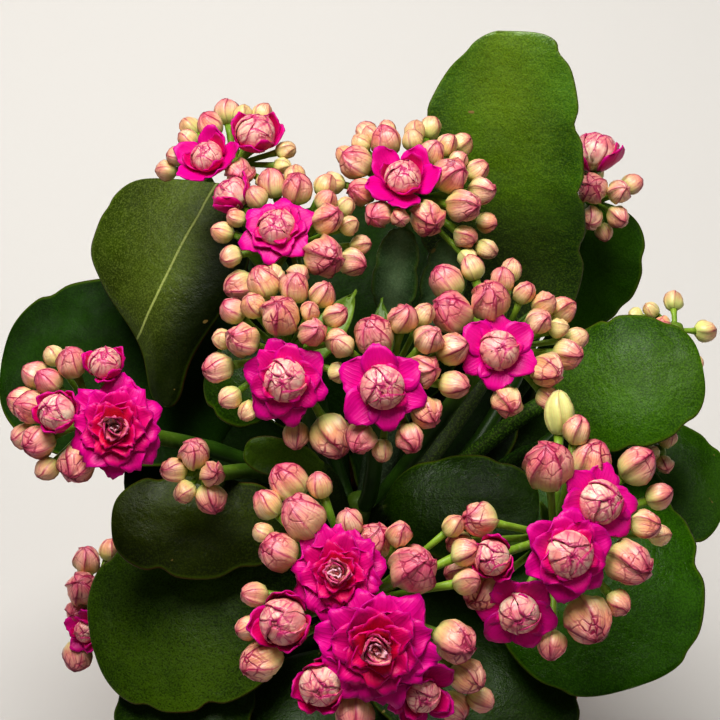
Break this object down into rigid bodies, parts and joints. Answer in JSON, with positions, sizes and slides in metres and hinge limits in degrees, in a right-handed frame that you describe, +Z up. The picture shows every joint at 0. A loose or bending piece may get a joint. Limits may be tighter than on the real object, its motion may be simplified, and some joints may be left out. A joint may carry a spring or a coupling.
{
  "type": "potted kalanchoe",
  "caption": "Flowering houseplant with fleshy scalloped leaves and domed heads of double pink blooms and round buds, growing in a plain clay pot.",
  "frame": {"origin": "middle of the plant's outline seen from above, on the plane that the pot's foot rests on", "axes": "+X to the right and -Y towards the viewer of the picture, +Z up"},
  "size_m": [0.1428, 0.1412, 0.1785],
  "materials": {
    "clay": "matt, unglazed fired clay",
    "soil": "matt, moist peat and bark crumbs",
    "stem": "satin, smooth green plant skin",
    "bud": "satin, fleshy buds on green rays",
    "petal": "matt, soft magenta petals",
    "leaf": "satin, thick waxy leaves"
  },
  "bodies": {
    "root": {"pot": "clay", "soil": "soil", "stems": "stem", "front_head_bloom_1": "petal", "front_head_bloom_2": "petal", "front_head_bloom_3": "petal", "front_head_bloom_4": "petal", "front_head_bloom_5": "petal", "front_right_head_bloom_1": "petal", "front_right_head_bloom_2": "petal", "front_right_head_bloom_3": "petal", "front_right_head_bloom_4": "petal", "left_head_bloom_1": "petal", "left_head_bloom_2": "petal", "left_head_bloom_3": "petal", "middle_left_head_bloom_1": "petal", "middle_head_bloom_1": "petal", "back_head_bloom_1": "petal", "right_head_bloom_1": "petal", "back_left_head_bloom_1": "petal", "back_left_head_bloom_2": "petal", "far_left_head_bloom_1": "petal", "far_left_head_bloom_2": "petal", "far_right_head_bloom_1": "petal", "lower_left_head_bloom_1": "petal", "front_head": "bud", "front_right_head": "bud", "left_head": "bud", "left_sprig": "bud", "middle_left_head": "bud", "middle_head": "bud", "back_head": "bud", "right_head": "bud", "back_left_head": "bud", "far_left_head": "bud", "far_right_head": "bud", "right_back_sprig": "bud", "right_sprig": "bud", "lower_left_head": "bud", "tall_back_leaf": "leaf", "left_arching_leaf": "leaf", "left_back_leaf": "leaf", "right_leaf": "leaf", "front_right_leaf": "leaf", "front_left_leaf": "leaf", "left_front_leaf": "leaf", "far_right_leaf": "leaf", "right_back_leaf": "leaf", "lower_centre_leaf": "leaf", "small_middle_leaf": "leaf", "inner_left_leaf": "leaf", "young_leaf_left": "leaf", "young_leaf_right": "leaf", "centre_back_leaf": "leaf", "bottom_left_leaf": "leaf", "left_leaf": "leaf", "front_centre_leaf": "leaf", "bottom_front_leaf": "leaf", "bottom_back_leaf": "leaf", "bottom_right_leaf": "leaf"}
  },
  "joints": []
}
